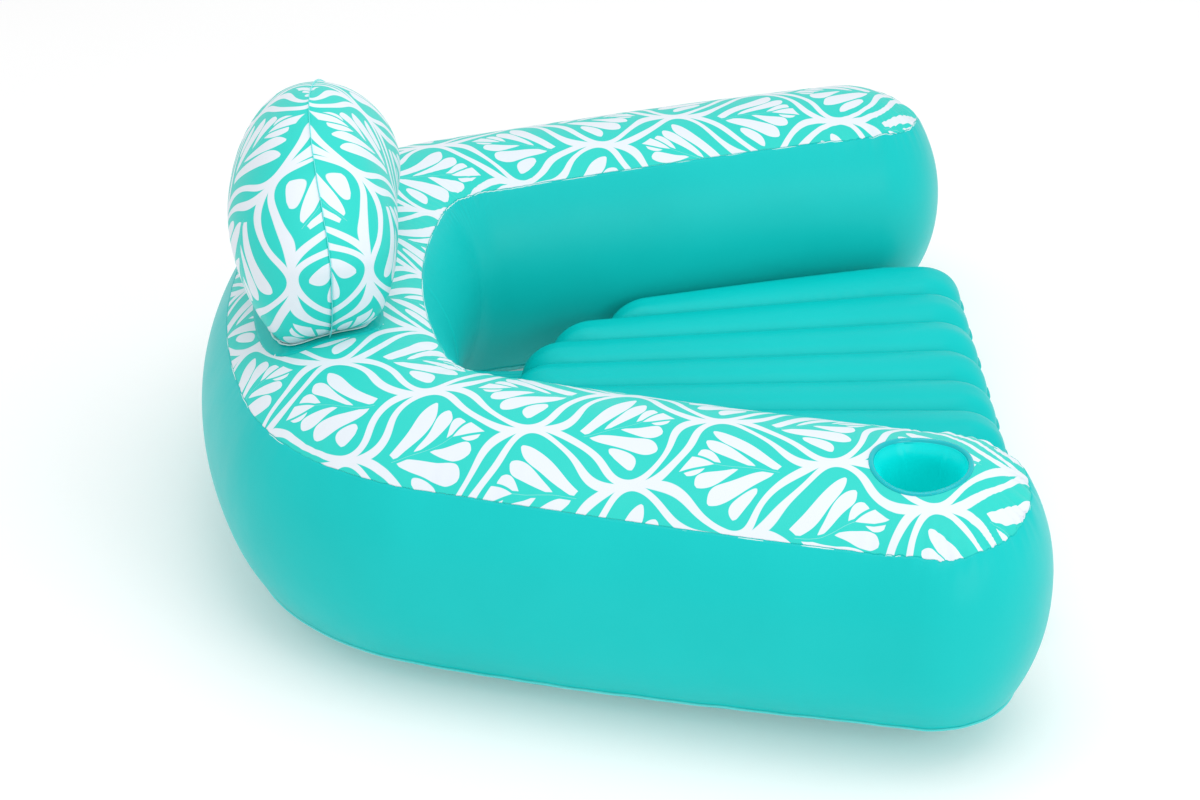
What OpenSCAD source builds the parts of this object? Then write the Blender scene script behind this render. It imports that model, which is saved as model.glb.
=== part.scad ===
/* [Ring] */
// Radius of the bowed back of the ring, at the middle of the tube
back_r = 892; // [600:1:1400]
// Half angle of the bowed back, in degrees
back_half_angle = 15.3; // [5:0.1:30]
// Radius of the two back corners, at the middle of the tube
corner_r = 182; // [165:1:260]
// Outward flare of the arms from straight ahead, in degrees
arm_flare = 18.2; // [0:0.1:30]
// Straight length of each arm
arm_l = 511; // [300:1:700]
// Half width between the outer and inner seams of the printed top panel
top_half_w = 113; // [90:1:130]
// Rise of the domed top panel above its seams
top_rise = 35.4; // [15:0.1:60]
// Outward tilt of the top panel, in degrees
top_tilt = 8.1; // [0:0.1:12]
// How far the top panel sits outward of the middle of the tube
top_shift = 12; // [0:1:20]
// Height of the middle of the top seams above the ground
top_seam_z = 268; // [200:1:330]
// Height of the base seams above the ground
base_seam_z = 35.5; // [20:0.5:60]
// Half width between the two base seams
base_half_w = 108; // [90:1:125]
// Largest half width of the tube, at the bulge of its walls
wall_half_w = 152; // [130:1:165]
// Depth of the base panel's curve below its seams before the ground flattens it
base_sag = 39.5; // [20:0.5:60]

/* [Headrest] */
// Half angle that the straight part of the headrest covers on the bowed back, in degrees
head_half_angle = 8; // [4:0.1:12]
// Half thickness of the headrest at its widest
head_half_t = 98; // [70:1:120]
// Radius of each of the headrest's two curved panels
head_panel_r = 119.6; // [105:0.1:160]
// Height of the headrest's widest level above the ground
head_mid_z = 392; // [360:1:430]
// Half width of the welded patch under the headrest
patch_half_w = 70; // [60:1:80]
// Half angle that the patch covers before its rounded ends, in degrees
patch_half_angle = 8.4; // [6:0.1:12]

/* [Seat] */
// Number of air tubes across the seat
tube_count = 9; // [5:2:13]
// Angle between one tube and the next, in degrees
tube_step = 2.2; // [1:0.1:4]
// Radius of each tube's upper and lower skin
tube_r = 64; // [50:1:80]
// Height of the top of the tubes above the ground
seat_top_z = 134; // [100:1:170]
// Thickness of the seat
seat_h = 100; // [60:1:120]
// Length of the middle tube
seat_l = 587; // [400:1:700]
// Distance of the seat's front edge from the centre of the bowed back's curve
seat_front_y = 107; // [50:1:200]
// Distance from the seat's front edge to the point that its tubes fan out from
seat_fan_r = 2214; // [1500:1:4000]
// How much shorter the outermost tubes are at the back, first part
seat_round_slow = 70; // [0:1:120]
// How much shorter the outermost tubes are at the back, second part, which grows faster
seat_round_fast = 60; // [0:1:120]

/* [Cup holder] */
// Inner radius of the cup holder
cup_r = 42; // [35:0.5:48]
// Depth of the cup holder
cup_depth = 85; // [60:1:110]
// Outer radius of the ring welded round its mouth
cup_rim_r = 54; // [48:0.5:60]

/* [Film and valves] */
// Thickness the film is drawn at
film_t = 1.2; // [1:0.1:2]
// Width of the welded seam edges
seam_w = 5; // [3:0.5:8]
// Radius of the bore of each valve stem
valve_bore_r = 4; // [3:0.5:5]

/* [Hidden] */
$fn = 96;
arc_fn = 192;
weld_gap = 0.05;
weld_gap_a = 0.003;
tip_parts = 4;
tip_part_a = 180 / tip_parts;
tip_gap_a = 0.02;

gap = 0.3;
fit = 0.12;
big = 2000;
far = 600;
seam_t = 1.6;

print_teal = [0.25, 0.88, 0.82];
wall_teal = [0.13, 0.8, 0.78];
seat_teal = [0, 0.77, 0.77];
clear_white = [0.85, 0.93, 0.95];
clear_blue = [0.2, 0.65, 0.8];
valve_white = [0.88, 0.9, 0.9];

// The back curve's centre lies on the ring's mid line, and its front is moved to centre the whole part
depth_back = back_r + wall_half_w;
corner_turn = 90 - arm_flare - back_half_angle;
corner_x = (back_r - corner_r) * sin(back_half_angle);
corner_y = (back_r - corner_r) * cos(back_half_angle);
arm_x0 = corner_x + corner_r * cos(arm_flare);
arm_y0 = corner_y + corner_r * sin(arm_flare);
arm_x1 = arm_x0 + arm_l * sin(arm_flare);
arm_y1 = arm_y0 - arm_l * cos(arm_flare);
depth_front = min(arm_y1 - wall_half_w, seat_front_y);
mid_y = (depth_back + depth_front) / 2;

// Circle through the two seams of each panel
top_r = (top_half_w * top_half_w + top_rise * top_rise) / (2 * top_rise);
top_drop = top_r - top_rise;
top_cx = top_shift - top_drop * sin(top_tilt);
top_cz = top_seam_z - top_drop * cos(top_tilt);
base_r = (base_half_w * base_half_w + base_sag * base_sag) / (2 * base_sag);
base_cz = base_seam_z - base_sag + base_r;
wall_dx = top_half_w - base_half_w;
wall_dz = top_seam_z - base_seam_z;
wall_chord = sqrt(wall_dx * wall_dx + wall_dz * wall_dz);
wall_sag = wall_half_w - (top_half_w + base_half_w) / 2;
wall_r = (wall_chord * wall_chord / 4 + wall_sag * wall_sag) / (2 * wall_sag);
wall_cx = wall_half_w - wall_r;
wall_cz = (top_seam_z + base_seam_z) / 2 + (wall_r - wall_sag) * wall_dx / wall_chord;

head_c = head_panel_r - head_half_t;
head_top_z = head_mid_z + sqrt(head_panel_r * head_panel_r - head_c * head_c);

seat_mid_z = seat_top_z - seat_h / 2;
tube_up = tube_r - seat_h / 2;
tube_edge = sqrt(tube_r * tube_r - tube_up * tube_up);
fan_y = seat_front_y + seat_fan_r;
fan_front = seat_fan_r - tube_edge;
edge_tube_a = (tube_count - 1) / 2 * tube_step;
side_gap = 4;
tab_x = 160;
tab_w = 30;

stem_wall = 1.5;
stem_r = valve_bore_r + stem_wall;
stem_up = 6;
stem_down = 8;
flange_r = 11;
flange_t = 1.5;
cap_r = 7;
cap_h = 2.5;
pin_down = 2;
pin_clear = 0.06;
tab_pull_l = 4;
tab_pull_w = 2;
strap_in = 1;
strap_w = 4;
strap_t = 1.2;
flap_t = 0.8;
ring_valve_a = 12;
valve_split_a = 9;
back_end_a = back_half_angle - weld_gap_a;
head_valve_a = 45;
seat_valve_tube = 3;
seat_valve_back = 30;

// Half width of the tube at a given height
function wall_reach(z) = wall_cx + sqrt(pow(wall_r, 2) - pow(z - wall_cz, 2));

// ---- Placing and sweeping along the ring ----

// Centres the whole part front to back
module placed() {
  translate([0, -mid_y, 0]) children();
}

// One arm's end frame on the +X side: x outward, y up the arm toward the back, z up
module at_arm_end() {
  translate([arm_x1, arm_y1, 0]) rotate([0, 0, arm_flare]) children();
}

module at_left_arm_end() {
  mirror([1, 0, 0]) at_arm_end() children();
}

// Sweeps a section along the bowed back between two angles, counted from its middle toward +X
module back_sweep(a0, a1) {
  rotate([0, 0, 90 - a1]) rotate_extrude(angle = a1 - a0, $fn = arc_fn)
    translate([back_r, 0]) children();
}

// Sweeps a section round both corners and both arms. The stretches of film meet with a hair's
// breadth between them
module side_sweep() {
  for (s = [0, 1]) {
    mirror([s, 0, 0]) {
      translate([corner_x, corner_y, 0]) rotate([0, 0, arm_flare])
        rotate_extrude(angle = corner_turn) translate([corner_r, 0]) children();
      translate([arm_x0, arm_y0, 0]) rotate([0, 0, arm_flare]) rotate([90, 0, 0])
        translate([0, 0, weld_gap]) linear_extrude(height = arm_l - 2 * weld_gap) children();
    }
  }
}

module ring_sweep() {
  back_sweep(-back_end_a, back_end_a) children();
  side_sweep() children();
}

// Turns half a section round the end of each arm, about an upright axis
module ring_tips() {
  for (s = [0, 1]) {
    mirror([s, 0, 0]) at_arm_end() rotate([0, 0, 180]) rotate_extrude(angle = 180) children();
  }
}

// The same half turn in short stretches that meet with a hair's breadth between them
module tip_stretches() {
  for (s = [0, 1]) {
    mirror([s, 0, 0]) at_arm_end() {
      for (k = [0:tip_parts - 1]) {
        rotate([0, 0, 180 + k * tip_part_a + (k == 0 ? 0 : tip_gap_a)])
          rotate_extrude(angle = tip_part_a - (k == 0 ? 0 : tip_gap_a)) children();
      }
    }
  }
}

// The tilted frame of the top panel, its origin midway between the two seams
module top_frame() {
  translate([top_shift, 0, top_seam_z]) rotate([0, top_tilt, 0]) children();
}

module top_frame_2d() {
  translate([top_shift, top_seam_z]) rotate(-top_tilt) children();
}

// Turns half a section round each arm's end, about the top panel's tilted axis
module top_tips() {
  for (s = [0, 1]) {
    mirror([s, 0, 0]) at_arm_end() top_frame() rotate([0, 0, 180])
      rotate_extrude(angle = 180) children();
  }
}

// ---- Ring panels ----

module right_half_2d() {
  translate([0, -big / 2]) square([big, big]);
}

module upper_half_2d() {
  translate([-big / 2, 0]) square([big, big]);
}

module top_band_2d() {
  intersection() {
    difference() {
      translate([0, -top_drop]) circle(r = top_r);
      translate([0, -top_drop]) circle(r = top_r - film_t);
    }
    upper_half_2d();
  }
}

module dome_disc_2d(lift) {
  translate([top_cx, top_cz]) circle(r = top_r + lift);
}

module wall_band_2d() {
  intersection() {
    difference() {
      translate([wall_cx, wall_cz]) circle(r = wall_r);
      translate([wall_cx, wall_cz]) circle(r = wall_r - film_t);
    }
    translate([0, base_seam_z + gap]) square([far, top_seam_z]);
  }
}

module below_top_2d() {
  top_frame_2d() translate([-big / 2, -big - gap]) square([big, big]);
}

module base_half_band_2d() {
  intersection() {
    difference() {
      intersection() {
        translate([0, base_cz]) circle(r = base_r);
        upper_half_2d();
      }
      intersection() {
        translate([0, base_cz]) circle(r = base_r - film_t);
        translate([0, film_t]) upper_half_2d();
      }
    }
    square([far, base_seam_z]);
  }
}

module base_band_2d() {
  base_half_band_2d();
  mirror([1, 0]) base_half_band_2d();
}

module top_fin_2d() {
  translate([top_half_w + gap / 2, gap / 2]) square([seam_w, seam_t]);
}

module base_fin_2d() {
  translate([base_half_w + gap / 2, base_seam_z - seam_t - gap / 2]) square([seam_w, seam_t]);
}

module ring_top_panel() {
  color(print_teal) placed() difference() {
    union() {
      ring_sweep() top_frame_2d() top_band_2d();
      top_tips() intersection() {
        top_band_2d();
        right_half_2d();
      }
    }
    at_left_arm_end() top_frame() cylinder(r = cup_r + film_t + fit, h = far, center = true);
  }
}

module outer_band_2d() {
  intersection() {
    wall_band_2d();
    below_top_2d();
  }
}

module ring_outer_wall() {
  color(wall_teal) placed() difference() {
    union() {
      back_sweep(-back_end_a, valve_split_a) outer_band_2d();
      back_sweep(valve_split_a + weld_gap_a, back_end_a) outer_band_2d();
      side_sweep() outer_band_2d();
      difference() {
        tip_stretches() wall_band_2d();
        for (s = [0, 1]) {
          mirror([s, 0, 0]) at_arm_end() top_frame() translate([-far, -far, -gap])
            cube([2 * far, 2 * far, far]);
        }
      }
    }
    at_ring_valve() valve_hole();
  }
}

module ring_inner_wall() {
  color(wall_teal) placed() ring_sweep() intersection() {
    mirror([1, 0]) wall_band_2d();
    below_top_2d();
  }
}

module ring_base_panel() {
  color(wall_teal) placed() {
    ring_sweep() base_band_2d();
    ring_tips() base_half_band_2d();
  }
}

module ring_top_seam() {
  color(clear_white) placed() {
    ring_sweep() top_frame_2d() {
      top_fin_2d();
      mirror([1, 0]) top_fin_2d();
    }
    top_tips() top_fin_2d();
  }
}

module ring_base_seam() {
  color(clear_white) placed() {
    ring_sweep() {
      base_fin_2d();
      mirror([1, 0]) base_fin_2d();
    }
    ring_tips() base_fin_2d();
  }
}

// ---- Headrest ----

// Sweeps a section along the bowed back, x measured from the headrest's own middle plane
module head_sweep(a) {
  rotate([0, 0, 90 - a]) rotate_extrude(angle = 2 * a, $fn = arc_fn)
    translate([back_r + top_shift, 0]) children();
}

// Turns half a section by a quarter at both ends of the headrest, on the front or the rear side
module head_quarters(a, front) {
  for (s = [0, 1]) {
    mirror([s, 0, 0]) rotate([0, 0, 90 - a]) translate([back_r + top_shift, 0, 0])
      rotate([0, 0, front ? 180 : -90]) rotate_extrude(angle = 90) children();
  }
}

module head_half_2d(grow) {
  intersection() {
    translate([-head_c, head_mid_z]) circle(r = head_panel_r + grow);
    translate([0, top_seam_z]) square([far, far]);
  }
}

module head_half_band_2d() {
  difference() {
    head_half_2d(0);
    head_half_2d(-film_t);
    translate([-gap, top_seam_z]) square([2 * gap, far]);
  }
}

// The part of the ring's dome that lies under the headrest, raised by the given amount
module dome_under_head(lift) {
  rotate([0, 0, 90 - back_half_angle]) rotate_extrude(angle = 2 * back_half_angle, $fn = arc_fn)
    translate([back_r, 0]) dome_disc_2d(lift);
}

module patch_footprint(w, a) {
  head_sweep(a) translate([-w, top_seam_z - far / 2]) square([2 * w, far]);
  for (s = [0, 1]) {
    mirror([s, 0, 0]) rotate([0, 0, 90 - a]) translate([back_r + top_shift, 0, top_seam_z - far / 2])
      cylinder(r = w, h = far);
  }
}

module headrest_patch() {
  color(wall_teal) placed() intersection() {
    difference() {
      dome_under_head(fit + film_t);
      dome_under_head(fit);
    }
    intersection() {
      patch_footprint(patch_half_w, patch_half_angle);
      translate([-far, 0, top_seam_z]) cube([2 * far, big, far]);
    }
  }
}

module headrest_weld_line() {
  color(clear_white) placed() intersection() {
    difference() {
      dome_under_head(2 * fit + 2 * film_t);
      dome_under_head(2 * fit + film_t);
    }
    difference() {
      patch_footprint(patch_half_w - gap, patch_half_angle);
      patch_footprint(patch_half_w - gap - seam_w, patch_half_angle);
    }
    translate([-far, 0, top_seam_z]) cube([2 * far, big, far]);
  }
}

// One of the headrest's two curved panels: a long middle and a quarter turn at each end
module head_panel(front) {
  head_sweep(head_half_angle - weld_gap_a) difference() {
    mirror([front ? 1 : 0, 0]) head_half_band_2d();
    translate([-top_shift, 0]) dome_disc_2d(2 * fit + film_t);
  }
  difference() {
    head_quarters(head_half_angle, front) head_half_band_2d();
    dome_under_head(2 * fit + film_t);
  }
}

module headrest_front_panel() {
  color(print_teal) placed() head_panel(true);
}

module headrest_rear_panel() {
  color(print_teal) placed() difference() {
    head_panel(false);
    at_headrest_valve() valve_hole();
  }
}

module headrest_ridge_seam() {
  color(clear_white) placed() difference() {
    union() {
      head_sweep(head_half_angle) translate([-seam_t / 2, head_top_z + gap])
        square([seam_t, seam_w]);
      for (s = [0, 1]) {
        mirror([s, 0, 0]) rotate([0, 0, 90 - head_half_angle]) translate([back_r + top_shift, 0, 0])
          rotate([90, 0, -90]) translate([0, 0, -seam_t / 2]) linear_extrude(height = seam_t)
            difference() {
              head_half_2d(seam_w + gap);
              head_half_2d(gap);
            }
      }
    }
    dome_under_head(3 * fit + 2 * film_t);
  }
}

// ---- Seat ----

function tube_a(i) = (i - (tube_count - 1) / 2) * tube_step;
function back_cut(a) = seat_round_slow * pow(a / edge_tube_a, 2)
  + seat_round_fast * pow(a / edge_tube_a, 4);
function tube_l(i) = seat_l - 2 * tube_edge - back_cut(tube_a(i));

// A round-ended rod of the tube's radius, lying back from the front of the seat
module tube_rod(i, r, z) {
  translate([0, fan_y, z]) rotate([0, 0, tube_a(i)]) translate([0, -fan_front / cos(tube_a(i)), 0])
    rotate([-90, 0, 0]) rotate_extrude() intersection() {
      union() {
        circle(r = r);
        square([r, tube_l(i)]);
        translate([0, tube_l(i)]) circle(r = r);
      }
      right_half_2d();
    }
}

// The space between the arms, kept clear of the ring's inner wall
module between_arms(inset) {
  intersection_for(s = [0, 1]) {
    mirror([s, 0, 0]) translate([arm_x1, arm_y1, 0]) rotate([0, 0, arm_flare])
      translate([-big - wall_half_w - side_gap - inset, -big / 2, 0]) cube([big, big, far]);
  }
}

module seat_upper(inset) {
  intersection() {
    union() {
      for (i = [0 : tube_count - 1]) tube_rod(i, tube_r - inset, seat_mid_z - tube_up);
    }
    between_arms(inset);
    translate([-far, 0, seat_mid_z]) cube([2 * far, big, far]);
  }
}

module seat_lower(inset) {
  translate([0, 0, 2 * seat_mid_z]) mirror([0, 0, 1]) seat_upper(inset);
}

module seat_top_sheet() {
  color(seat_teal) placed() difference() {
    seat_upper(0);
    seat_upper(film_t);
    translate([-far, 0, 0]) cube([2 * far, big, seat_mid_z + seam_t / 2 + fit]);
    at_seat_valve() valve_hole();
  }
}

module seat_bottom_sheet() {
  color(seat_teal) placed() difference() {
    seat_lower(0);
    seat_lower(film_t);
    translate([-far, 0, seat_mid_z - seam_t / 2 - fit]) cube([2 * far, big, far]);
  }
}

// The upright strips that tie the two skins together in each valley
module seat_beams() {
  color(seat_teal) placed() intersection() {
    for (i = [1 : tube_count - 1]) {
      translate([0, fan_y, 0]) rotate([0, 0, tube_a(i) - tube_step / 2])
        translate([-film_t / 2, -big - seat_l, 0]) cube([film_t, big + seat_l, far]);
    }
    union() {
      seat_upper(film_t + fit);
      seat_lower(film_t + fit);
    }
  }
}

module seat_plan_2d(grow) {
  for (i = [0 : tube_count - 1]) {
    translate([0, fan_y]) rotate(tube_a(i)) translate([0, -fan_front / cos(tube_a(i))]) {
      circle(r = tube_edge + grow);
      translate([-tube_edge - grow, 0]) square([2 * (tube_edge + grow), tube_l(i)]);
      translate([0, tube_l(i)]) circle(r = tube_edge + grow);
    }
  }
}

module seat_level(t) {
  translate([0, 0, seat_mid_z - t / 2]) linear_extrude(height = t) children();
}

module seat_edge_seam() {
  color(seat_teal) placed() difference() {
    intersection() {
      seat_level(seam_t) seat_plan_2d(2 * seam_w);
      between_arms(wall_reach(seat_mid_z + seam_t / 2) + gap - wall_half_w - side_gap);
    }
    intersection() {
      seat_level(2 * seam_t) seat_plan_2d(-film_t);
      between_arms(film_t);
    }
  }
}

module seat_back_tabs() {
  color(seat_teal) placed() difference() {
    intersection() {
      seat_level(seam_t) {
        for (s = [-1, 1]) {
          translate([s * tab_x - tab_w / 2, 0]) square([tab_w, back_r]);
        }
      }
      cylinder(r = back_r - wall_reach(seat_mid_z + seam_t / 2) - gap, h = far);
    }
    seat_level(2 * seam_t) seat_plan_2d(2 * seam_w + gap);
    translate([-far, -big, 0]) cube([2 * far, big + fan_y - fan_front, far]);
  }
}

// ---- Cup holder ----

// The outer surface of the dome at the end of the left arm: a rod with a round end
module dome_rod(lift) {
  translate([0, 0, -top_drop]) rotate([-90, 0, 0]) rotate_extrude() intersection() {
    union() {
      circle(r = top_r + lift);
      square([top_r + lift, far / 2]);
    }
    right_half_2d();
  }
}

module cup_holder_rim() {
  color(clear_blue) placed() at_left_arm_end() top_frame() intersection() {
    difference() {
      dome_rod(fit + film_t);
      dome_rod(fit);
    }
    difference() {
      cylinder(r = cup_rim_r, h = far);
      translate([0, 0, -gap]) cylinder(r = cup_r, h = far + 2 * gap);
    }
  }
}

module cup_holder_sleeve() {
  color(wall_teal) placed() at_left_arm_end() top_frame() intersection() {
    dome_rod(0);
    translate([0, 0, top_rise - cup_depth]) difference() {
      cylinder(r = cup_r + film_t, h = far);
      translate([0, 0, -gap]) cylinder(r = cup_r, h = far + 2 * gap);
    }
  }
}

module cup_holder_base() {
  color(wall_teal) placed() at_left_arm_end() top_frame()
    translate([0, 0, top_rise - cup_depth - fit - film_t]) cylinder(r = cup_r + film_t, h = film_t);
}

// ---- Valves ----

// Each valve's frame has its origin on the film's outer face and its +Z pointing out of the chamber

module at_ring_valve() {
  rotate([0, 0, -ring_valve_a]) translate([0, back_r + wall_half_w, wall_cz])
    rotate([-90, 0, 0]) children();
}

module at_headrest_valve() {
  rotate([0, 0, -head_half_angle]) translate([0, back_r + top_shift, head_mid_z])
    rotate([0, 0, -head_valve_a]) translate([0, head_half_t, 0]) rotate([-90, 0, 0]) children();
}

module at_seat_valve() {
  translate([0, fan_y, seat_top_z]) rotate([0, 0, -seat_valve_tube * tube_step])
    translate([0, seat_valve_back - fan_front, 0]) children();
}

module valve_hole() {
  cylinder(r = stem_r + fit, h = 2 * stem_down, center = true);
}

module valve_stem() {
  color(valve_white) difference() {
    union() {
      translate([0, 0, -stem_down]) cylinder(r = stem_r, h = stem_down + stem_up);
      translate([0, 0, gap]) cylinder(r = flange_r, h = flange_t);
    }
    cylinder(r = valve_bore_r, h = big, center = true);
  }
}

module valve_plug() {
  color(valve_white) {
    translate([0, 0, stem_up + gap]) cylinder(r = cap_r, h = cap_h);
    translate([0, 0, -pin_down])
      cylinder(r = valve_bore_r - pin_clear, h = pin_down + stem_up + cap_h);
    translate([-tab_pull_w / 2, 0, stem_up + gap + cap_h / 2])
      cube([tab_pull_w, cap_r + tab_pull_l, cap_h / 2]);
  }
}

module valve_strap() {
  color(valve_white) translate([-strap_w / 2, 0, 0]) {
    translate([0, strap_in - flange_r, flange_t + 2 * gap]) cube([strap_w, strap_t, stem_up]);
    translate([0, strap_in - flange_r, stem_up + flange_t + 2 * gap])
      cube([strap_w, flange_r - strap_in - cap_r - gap, strap_t]);
  }
}

module valve_flap() {
  color(valve_white) translate([0, 0, -stem_down - gap - flap_t]) cylinder(r = stem_r, h = flap_t);
}

module ring_valve_stem() {
  placed() at_ring_valve() valve_stem();
}

module ring_valve_plug() {
  placed() at_ring_valve() valve_plug();
}

module ring_valve_strap() {
  placed() at_ring_valve() valve_strap();
}

module ring_valve_flap() {
  placed() at_ring_valve() valve_flap();
}

module headrest_valve_stem() {
  placed() at_headrest_valve() valve_stem();
}

module headrest_valve_plug() {
  placed() at_headrest_valve() valve_plug();
}

module headrest_valve_strap() {
  placed() at_headrest_valve() valve_strap();
}

module headrest_valve_flap() {
  placed() at_headrest_valve() valve_flap();
}

module seat_valve_stem() {
  placed() at_seat_valve() valve_stem();
}

module seat_valve_plug() {
  placed() at_seat_valve() valve_plug();
}

module seat_valve_strap() {
  placed() at_seat_valve() valve_strap();
}

module seat_valve_flap() {
  placed() at_seat_valve() valve_flap();
}

ring_top_panel();
ring_outer_wall();
ring_inner_wall();
ring_base_panel();
ring_top_seam();
ring_base_seam();
headrest_patch();
headrest_front_panel();
headrest_rear_panel();
headrest_ridge_seam();
headrest_weld_line();
seat_top_sheet();
seat_bottom_sheet();
seat_beams();
seat_edge_seam();
seat_back_tabs();
cup_holder_rim();
cup_holder_sleeve();
cup_holder_base();
ring_valve_stem();
ring_valve_plug();
ring_valve_strap();
ring_valve_flap();
headrest_valve_stem();
headrest_valve_plug();
headrest_valve_strap();
headrest_valve_flap();
seat_valve_stem();
seat_valve_plug();
seat_valve_strap();
seat_valve_flap();
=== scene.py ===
"""Looks of the inflatable pool float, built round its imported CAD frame. Metres, +Z up."""
import math

import bpy
import bmesh
import numpy as np
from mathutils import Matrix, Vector


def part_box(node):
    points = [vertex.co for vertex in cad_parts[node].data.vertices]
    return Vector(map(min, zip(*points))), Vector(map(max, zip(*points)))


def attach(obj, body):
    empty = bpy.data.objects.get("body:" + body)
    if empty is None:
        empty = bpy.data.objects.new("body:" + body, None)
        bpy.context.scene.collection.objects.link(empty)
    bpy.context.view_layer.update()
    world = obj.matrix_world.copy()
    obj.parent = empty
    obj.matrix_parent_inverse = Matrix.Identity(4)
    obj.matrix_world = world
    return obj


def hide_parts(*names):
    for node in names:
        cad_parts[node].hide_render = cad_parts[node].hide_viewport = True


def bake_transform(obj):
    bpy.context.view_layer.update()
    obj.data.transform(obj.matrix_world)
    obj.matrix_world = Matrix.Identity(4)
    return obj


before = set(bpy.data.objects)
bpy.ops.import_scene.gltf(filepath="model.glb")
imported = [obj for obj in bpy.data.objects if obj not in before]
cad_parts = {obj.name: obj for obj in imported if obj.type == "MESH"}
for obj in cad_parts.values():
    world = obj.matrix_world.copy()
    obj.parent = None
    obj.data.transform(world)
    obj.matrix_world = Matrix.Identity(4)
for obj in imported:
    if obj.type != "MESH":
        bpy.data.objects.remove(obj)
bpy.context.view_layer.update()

# ---------------------------------------------------------------- the float's own sizes, in metres

# Middle line of the ring: bowed back, round corner, arm that flares and bends slightly inward
BACK_Y = 0.3299
BACK_HALF_L = 0.2419
BACK_TURN = math.radians(15.33)
CORNER_R = 0.1943
ARM_TURN = math.radians(69.7)
ARM_L = 0.5381
ARM_BEND = 0.1008
# Section of the ring
TOP_W = 0.1140
TOP_Z = 0.2678
TOP_TILT = math.radians(8.1)
TOP_RISE = 0.0354
TIP_BLUNT = 0.80
BASE_W = 0.1044
BASE_Z = 0.0354
BASE_SAG = 0.0393
BULGE_OUT = 0.0365
BULGE_IN = 0.0450
BULGE_DROP_AT_TIP = 0.003
WALL_H = 0.24
FILM = 0.0012
# Rise of the ring's underside toward the ends of the arms
LIFT = 0.011
LIFT_FROM = 0.50
# Headrest: it stands a little behind the ring's middle line
HEAD_R = BACK_HALF_L / BACK_TURN
HEAD_BACK = 0.010
HEAD_L = 0.222
HEAD_T = 0.0975
HEAD_MID_Z = 0.392
HEAD_TOP_Z = 0.515
HEAD_BASE_Z = 0.300
HEAD_LOW = 0.113
HEAD_ROWS = 84
HEAD_COLS = 141
FOOT_RISE = 0.0032
# Rounding of the headrest's plan along and across, in the middle and at the foot
PLAN_L = 3.0
PLAN_T = 2.0
PLAN_LOW = 5.5
PATCH_L = 0.210
PATCH_W = 0.0730
PATCH_RISE = 0.0017
PATCH_FILM = 0.0009
# Seat
FAN_Y = 1.7469
SEAT_FRONT_Y = -0.4671
TUBE_STEP = math.radians(2.2)
TUBES = 9
SEAT_MID_Z = 0.084
SEAT_HALF_H = 0.050
TUBE_R = 0.064
SEAT_L = 0.587
SEAT_END_R = 0.050
SEAT_CAP_ROWS = 20
SEAT_RUN_ROWS = 68
SEAT_COLS = 22
SCALLOP = 0.030
CREASE = 0.010
CREASE_W = 0.0035
SIDE_GAP = 0.006
STRIP_FILM = 0.0008
TAB_X = 0.160
TAB_W = 0.030
TAB_IN_SEAT = 0.034
TAB_IN_WALL = 0.016
TAB_SAG = 0.004
TAB_FILM = 0.0014
# Cup holder, in the left arm
CUP = (-0.5318, -0.3090, 0.3020)
CUP_R = 0.042
CUP_RIM_R = 0.054
CUP_DEPTH = 0.085
CUP_FILM = 0.0010
CUP_LIP = 0.0042
# Valves, and how far a film's face lies past the middle of a stem
RING_VALVE_A = math.radians(12)
HEAD_VALVE_A = math.radians(53)
VALVE_MID_DOWN = 0.001
# Welded edges: width and thickness
TOP_BEAD = (0.0030, 0.0011)
BASE_BEAD = (0.0045, 0.0014)
RIDGE_BEAD = (0.0030, 0.0011)
FOOT_BEAD = (0.0036, 0.0014)
SEAT_BEAD = (0.0060, 0.0016)
CUP_BEAD = (0.0011, 0.0014)
# Body that every piece hangs on
BODY = "float"


# ---------------------------------------------------------------- mesh helpers

def link(mesh, name):
    """Puts a mesh into the scene as an object."""
    ob = bpy.data.objects.new(name, mesh)
    bpy.context.scene.collection.objects.link(ob)
    return ob


def sheet_mesh(name, pts, uv=None, flip=False):
    """A smooth grid mesh through an array of points, rows by columns by 3."""
    rows, cols = pts.shape[:2]
    idx = np.arange(rows * cols).reshape(rows, cols)
    quads = np.stack([idx[:-1, :-1], idx[1:, :-1], idx[1:, 1:], idx[:-1, 1:]], -1).reshape(-1, 4)
    if flip:
        quads = quads[:, ::-1]
    mesh = bpy.data.meshes.new(name)
    mesh.from_pydata(pts.reshape(-1, 3).tolist(), [], quads.tolist())
    if uv is not None:
        layer = mesh.uv_layers.new(name="Print")
        layer.data.foreach_set("uv", uv.reshape(-1, 2)[quads.ravel()].astype(np.float32).ravel())
    bm = bmesh.new()
    bm.from_mesh(mesh)
    bmesh.ops.remove_doubles(bm, verts=bm.verts, dist=1e-5)
    bmesh.ops.dissolve_degenerate(bm, edges=bm.edges, dist=1e-6)
    bm.to_mesh(mesh)
    bm.free()
    mesh.polygons.foreach_set("use_smooth", [True] * len(mesh.polygons))
    mesh.update()
    return link(mesh, name)


def thicken(ob, thickness=FILM):
    """Gives a film its thickness, inward from the shown face."""
    m = ob.modifiers.new("film", "SOLIDIFY")
    m.thickness = thickness
    m.offset = -1
    bpy.context.view_layer.objects.active = ob
    with bpy.context.temp_override(object=ob, active_object=ob):
        bpy.ops.object.modifier_apply(modifier=m.name)


def keep(ob, body, mat, nodes=()):
    """Gives a finished piece its material, hangs it on its body, and hides the CAD parts it stands for."""
    ob.data.materials.clear()
    ob.data.materials.append(mat)
    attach(ob, body)
    if nodes:
        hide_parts(*nodes)


def cap_radius(half_width, rise):
    """Radius of the arc that spans twice half_width and stands rise high."""
    return (half_width ** 2 + rise ** 2) / (2 * rise)


def tilted(across, up):
    """Offset from the middle line and height, for a point in the tilted frame of the ring's top."""
    return (across * math.cos(TOP_TILT) + up * math.sin(TOP_TILT),
            TOP_Z - across * math.sin(TOP_TILT) + up * math.cos(TOP_TILT))


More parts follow.
